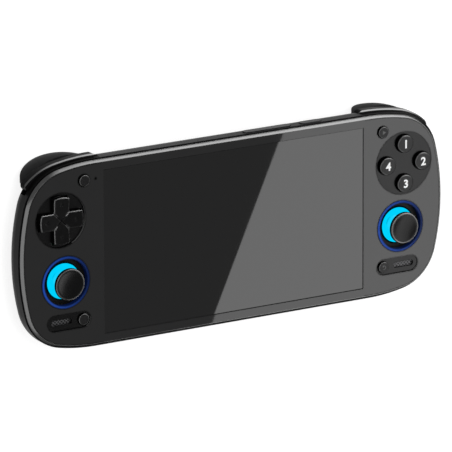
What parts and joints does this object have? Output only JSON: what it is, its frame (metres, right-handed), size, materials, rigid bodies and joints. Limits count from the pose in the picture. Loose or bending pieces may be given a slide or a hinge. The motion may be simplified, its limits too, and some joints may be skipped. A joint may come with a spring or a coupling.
{
  "type": "handheld game console",
  "caption": "Flat black handheld game console with a wide screen between a cross pad, lit thumb sticks, round keys and sprung shoulder keys.",
  "frame": {"origin": "under the middle of the console, on the surface it lies on", "axes": "+X to the right hand, +Y to the shoulder edge, +Z out of the screen"},
  "size_m": [0.199, 0.0798, 0.0281],
  "materials": {
    "housing_plastic": "fine satin moulded black plastic",
    "trim_metal": "bright satin metal rim",
    "faceplate_plastic": "smooth satin black plastic",
    "display_glass": "dark unlit display glass",
    "display_panel": "black panel edge",
    "key_plastic": "satin black key plastic",
    "cap_rubber": "matte black rubber",
    "membrane_rubber": "grey silicone",
    "ring_blue": "blue ring",
    "light_cyan": "cyan light ring",
    "steel": "plain steel",
    "frame_metal": "plain stamped metal",
    "mesh_metal": "fine dark mesh",
    "black_plastic": "plain black plastic",
    "board_green": "green circuit board",
    "battery_wrap": "plain wrapped cell"
  },
  "bodies": {
    "housing": {"front_shell": "housing_plastic", "rear_shell": "housing_plastic", "bezel_trim": "trim_metal", "faceplate": "faceplate_plastic", "dpad_well": "faceplate_plastic", "cluster_plate": "faceplate_plastic", "pill_plate_left": "faceplate_plastic", "pill_plate_right": "faceplate_plastic", "display_glass": "display_glass", "display_panel": "display_panel", "dpad_membrane": "membrane_rubber", "cluster_membrane": "membrane_rubber", "stick_ring_left": "ring_blue", "stick_ring_right": "ring_blue", "glow_ring_left": "light_cyan", "glow_ring_right": "light_cyan", "bumper_pins": "steel", "trigger_pins": "steel", "usb_socket": "steel", "card_socket": "steel", "rear_screws": "steel", "carrier_plate": "frame_metal", "heat_sink": "frame_metal", "speaker_meshes": "mesh_metal", "speaker_left": "black_plastic", "speaker_right": "black_plastic", "stick_housing_left": "black_plastic", "stick_housing_right": "black_plastic", "fan_housing": "black_plastic", "headphone_socket": "black_plastic", "key_board_left": "board_green", "key_board_right": "board_green", "main_board": "board_green", "port_board": "board_green", "battery": "battery_wrap"},
    "dpad_ball": {"dpad_ball": "steel"},
    "dpad": {"dpad": "key_plastic"},
    "bumper_left": {"bumper_left": "key_plastic"},
    "bumper_right": {"bumper_right": "key_plastic"},
    "trigger_left": {"trigger_left": "key_plastic"},
    "trigger_right": {"trigger_right": "key_plastic"},
    "power_button": {"power_button": "key_plastic"},
    "volume_rocker": {"volume_rocker": "key_plastic"},
    "fan_impeller": {"fan_impeller": "black_plastic"},
    "face_button_top": {"face_button_top": "key_plastic"},
    "face_button_right": {"face_button_right": "key_plastic"},
    "face_button_bottom": {"face_button_bottom": "key_plastic"},
    "face_button_left": {"face_button_left": "key_plastic"},
    "select_button": {"select_button": "key_plastic"},
    "start_button": {"start_button": "key_plastic"},
    "menu_button_left": {"menu_button_left": "key_plastic"},
    "menu_button_right": {"menu_button_right": "key_plastic"},
    "stick_gimbal_left": {"stick_gimbal_left": "frame_metal"},
    "stick_lever_left": {"stick_lever_left": "steel"},
    "stick_cap_left": {"stick_cap_left": "cap_rubber"},
    "stick_gimbal_right": {"stick_gimbal_right": "frame_metal"},
    "stick_lever_right": {"stick_lever_right": "steel"},
    "stick_cap_right": {"stick_cap_right": "cap_rubber"}
  },
  "joints": [
    {"name": "dpad_pitch", "type": "hinge", "parent": "housing", "child": "dpad_ball", "pos_m": [-0.0809, 0.01575, 0.0198], "axis": [1, 0, 0], "range_deg": [-3.5, 3.5], "stiffness_Nm_per_rad": 0.2},
    {"name": "dpad_roll", "type": "hinge", "parent": "dpad_ball", "child": "dpad", "pos_m": [-0.0809, 0.01575, 0.0198], "axis": [0, 1, 0], "range_deg": [-3.5, 3.5], "stiffness_Nm_per_rad": 0.2},
    {"name": "face_button_top_press", "type": "slide", "parent": "housing", "child": "face_button_top", "axis": [0, 0, -1], "range_m": [0, 0.0009], "stiffness_N_per_m": 1300},
    {"name": "face_button_right_press", "type": "slide", "parent": "housing", "child": "face_button_right", "axis": [0, 0, -1], "range_m": [0, 0.0009], "stiffness_N_per_m": 1300},
    {"name": "face_button_bottom_press", "type": "slide", "parent": "housing", "child": "face_button_bottom", "axis": [0, 0, -1], "range_m": [0, 0.0009], "stiffness_N_per_m": 1300},
    {"name": "face_button_left_press", "type": "slide", "parent": "housing", "child": "face_button_left", "axis": [0, 0, -1], "range_m": [0, 0.0009], "stiffness_N_per_m": 1300},
    {"name": "select_button_press", "type": "slide", "parent": "housing", "child": "select_button", "axis": [0, 0, -1], "range_m": [0, 0.0004], "stiffness_N_per_m": 3700},
    {"name": "start_button_press", "type": "slide", "parent": "housing", "child": "start_button", "axis": [0, 0, -1], "range_m": [0, 0.0004], "stiffness_N_per_m": 3700},
    {"name": "menu_button_left_press", "type": "slide", "parent": "housing", "child": "menu_button_left", "axis": [0, 0, -1], "range_m": [0, 0.0004], "stiffness_N_per_m": 3700},
    {"name": "menu_button_right_press", "type": "slide", "parent": "housing", "child": "menu_button_right", "axis": [0, 0, -1], "range_m": [0, 0.0004], "stiffness_N_per_m": 3700},
    {"name": "stick_left_pitch", "type": "hinge", "parent": "housing", "child": "stick_gimbal_left", "pos_m": [-0.0788, -0.01045, 0.0172], "axis": [1, 0, 0], "range_deg": [-13, 13], "stiffness_Nm_per_rad": 0.045},
    {"name": "stick_left_roll", "type": "hinge", "parent": "stick_gimbal_left", "child": "stick_lever_left", "pos_m": [-0.0788, -0.01045, 0.0172], "axis": [0, 1, 0], "range_deg": [-13, 13], "stiffness_Nm_per_rad": 0.045},
    {"name": "stick_left_click", "type": "slide", "parent": "stick_lever_left", "child": "stick_cap_left", "axis": [0, 0, -1], "range_m": [0, 0.0005], "stiffness_N_per_m": 8000},
    {"name": "bumper_left_press", "type": "hinge", "parent": "housing", "child": "bumper_left", "pos_m": [-0.06391, 0.03295, 0.0176], "axis": [0, 0, 1], "range_deg": [0, 2], "stiffness_Nm_per_rad": 1.7},
    {"name": "trigger_left_pull", "type": "hinge", "parent": "housing", "child": "trigger_left", "pos_m": [-0.072, 0.03215, 0.015], "axis": [-1, 0, 0], "range_deg": [0, 11], "stiffness_Nm_per_rad": 0.125},
    {"name": "stick_right_pitch", "type": "hinge", "parent": "housing", "child": "stick_gimbal_right", "pos_m": [0.0788, -0.01045, 0.0172], "axis": [1, 0, 0], "range_deg": [-13, 13], "stiffness_Nm_per_rad": 0.045},
    {"name": "stick_right_roll", "type": "hinge", "parent": "stick_gimbal_right", "child": "stick_lever_right", "pos_m": [0.0788, -0.01045, 0.0172], "axis": [0, 1, 0], "range_deg": [-13, 13], "stiffness_Nm_per_rad": 0.045},
    {"name": "stick_right_click", "type": "slide", "parent": "stick_lever_right", "child": "stick_cap_right", "axis": [0, 0, -1], "range_m": [0, 0.0005], "stiffness_N_per_m": 8000},
    {"name": "bumper_right_press", "type": "hinge", "parent": "housing", "child": "bumper_right", "pos_m": [0.06391, 0.03295, 0.0176], "axis": [0, 0, -1], "range_deg": [0, 2], "stiffness_Nm_per_rad": 1.7},
    {"name": "trigger_right_pull", "type": "hinge", "parent": "housing", "child": "trigger_right", "pos_m": [0.072, 0.03215, 0.015], "axis": [-1, 0, 0], "range_deg": [0, 11], "stiffness_Nm_per_rad": 0.125},
    {"name": "power_press", "type": "slide", "parent": "housing", "child": "power_button", "axis": [0, -1, 0], "range_m": [0, 0.0004], "stiffness_N_per_m": 5000},
    {"name": "volume_rock", "type": "hinge", "parent": "housing", "child": "volume_rocker", "pos_m": [0.0174, 0.03645, 0.0198], "axis": [0, 0, 1], "range_deg": [-1.2, 1.2], "stiffness_Nm_per_rad": 1},
    {"name": "fan_spin", "type": "hinge", "parent": "housing", "child": "fan_impeller", "pos_m": [0, 0.01415, 0.0136], "axis": [0, 0, 1], "continuous": true}
  ]
}
